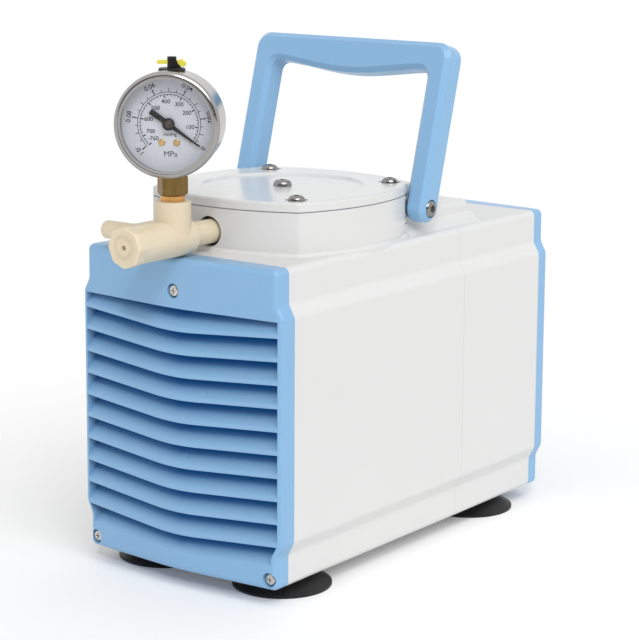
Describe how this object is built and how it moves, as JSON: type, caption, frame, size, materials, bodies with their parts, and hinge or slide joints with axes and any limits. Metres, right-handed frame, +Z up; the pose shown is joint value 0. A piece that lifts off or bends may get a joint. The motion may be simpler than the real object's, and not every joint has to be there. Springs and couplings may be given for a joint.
{
  "type": "diaphragm vacuum pump",
  "caption": "Oil-free diaphragm vacuum pump with louvred blue covers, white housing and head, dial vacuum gauge on a nylon intake fitting and a folding carrying handle.",
  "frame": {"origin": "on the floor, under the middle of the bounding box of the whole pump", "axes": "+Z up, -Y towards the gauge and the regulating knob at the front, +X to the right seen from the front"},
  "size_m": [0.1384, 0.3062, 0.2848],
  "materials": {
    "blue_cover": "satin moulded",
    "white_housing": "smooth white coating",
    "white_head": "glossy white coating",
    "fairing_white": "satin white coating",
    "foot_rubber": "matt",
    "steel": "plain",
    "dark_chrome": "polished",
    "nylon": "translucent natural",
    "brass": "turned",
    "gauge_steel": "polished",
    "glass": "clear",
    "dial": "printed",
    "black_plastic": "satin",
    "yellow_plastic": "satin",
    "elastomer": "smooth",
    "cast_aluminium": "as cast",
    "laminations": "stacked sheet",
    "copper": "enamelled wire",
    "sintered": "porous",
    "capacitor_grey": "smooth"
  },
  "bodies": {
    "pump_base": {"housing_front": "white_housing", "housing_rear": "white_housing", "front_cover": "blue_cover", "rear_cover": "blue_cover", "cover_screws": "dark_chrome", "inlet_body": "black_plastic", "inlet_pins": "brass", "inlet_screws": "dark_chrome", "switch_body": "black_plastic", "foot_front_left": "foot_rubber", "foot_front_right": "foot_rubber", "foot_rear_left": "foot_rubber", "foot_rear_right": "foot_rubber", "foot_screws": "steel", "pump_head": "white_head", "head_plate": "white_head", "head_gasket": "elastomer", "head_screws": "dark_chrome", "centre_screw": "dark_chrome", "valve_plate": "cast_aluminium", "diaphragm": "elastomer", "stator": "laminations", "windings": "copper", "front_bearing": "steel", "rear_bearing": "steel", "front_bracket": "cast_aluminium", "rear_bracket": "cast_aluminium", "run_capacitor": "capacitor_grey", "exhaust_fairing": "fairing_white", "exhaust_silencer": "sintered", "port_nipple": "nylon", "port_seal": "elastomer", "cross_fitting": "nylon", "gauge_case": "gauge_steel", "gauge_bezel": "gauge_steel", "gauge_glass": "glass", "gauge_dial": "dial", "dial_screws": "brass", "gauge_movement": "brass", "gauge_stem": "brass", "vent_plug": "black_plastic", "handle_screws": "dark_chrome", "handle_washers": "steel"},
    "handle_body": {"handle": "blue_cover"},
    "pointer_body": {"gauge_pointer": "black_plastic"},
    "knob_body": {"regulating_knob": "nylon", "valve_stem": "nylon"},
    "vent_body": {"vent_post": "black_plastic", "vent_lever": "yellow_plastic"},
    "rocker_body": {"switch_rocker": "black_plastic"},
    "shaft_body": {"motor_shaft": "steel", "rotor": "laminations", "eccentric": "steel", "cooling_fan": "black_plastic"},
    "rod_body": {"connecting_rod": "cast_aluminium", "rod_bearing": "steel", "clamp_disc": "cast_aluminium", "diaphragm_screw": "steel"},
    "intake_valve_body": {"intake_valve_disc": "elastomer"},
    "exhaust_valve_body": {"exhaust_valve_disc": "elastomer"}
  },
  "joints": [
    {"name": "handle_fold", "type": "hinge", "parent": "pump_base", "child": "handle_body", "pos_m": [0, 0.02359, 0.1948], "axis": [-1, 0, 0], "range_deg": [0, 73]},
    {"name": "pointer_turn", "type": "hinge", "parent": "pump_base", "child": "pointer_body", "pos_m": [0, -0.11491, 0.2504], "axis": [0.5, -0.866, 0], "range_deg": [0, 259], "stiffness_Nm_per_rad": 0.0002},
    {"name": "knob_turn", "type": "hinge", "parent": "pump_base", "child": "knob_body", "pos_m": [0, -0.14041, 0.1895], "axis": [0, -1, 0], "range_deg": [0, 270]},
    {"name": "vent_turn", "type": "hinge", "parent": "pump_base", "child": "vent_body", "pos_m": [0, -0.11491, 0.2773], "axis": [0, 0, 1], "range_deg": [0, 90]},
    {"name": "rocker_tip", "type": "hinge", "parent": "pump_base", "child": "rocker_body", "pos_m": [0.024, 0.14449, 0.0513], "axis": [1, 0, 0], "range_deg": [0, 14]},
    {"name": "shaft_spin", "type": "hinge", "parent": "pump_base", "child": "shaft_body", "pos_m": [0, -0.02241, 0.0873], "axis": [0, 1, 0], "continuous": true, "deforming": ["diaphragm"]},
    {"name": "rod_swing", "type": "hinge", "parent": "shaft_body", "child": "rod_body", "pos_m": [0, -0.02241, 0.0843], "axis": [0, 1, 0], "continuous": true},
    {"name": "intake_valve_lift", "type": "slide", "parent": "pump_base", "child": "intake_valve_body", "axis": [0, 0, -1], "range_m": [0, 0.0008], "stiffness_N_per_m": 100},
    {"name": "exhaust_valve_lift", "type": "slide", "parent": "pump_base", "child": "exhaust_valve_body", "axis": [0, 0, 1], "range_m": [0, 0.0008], "stiffness_N_per_m": 100}
  ],
  "couplings": [
    {"joint": "rod_swing", "follows": "shaft_spin", "ratio": -1}
  ]
}
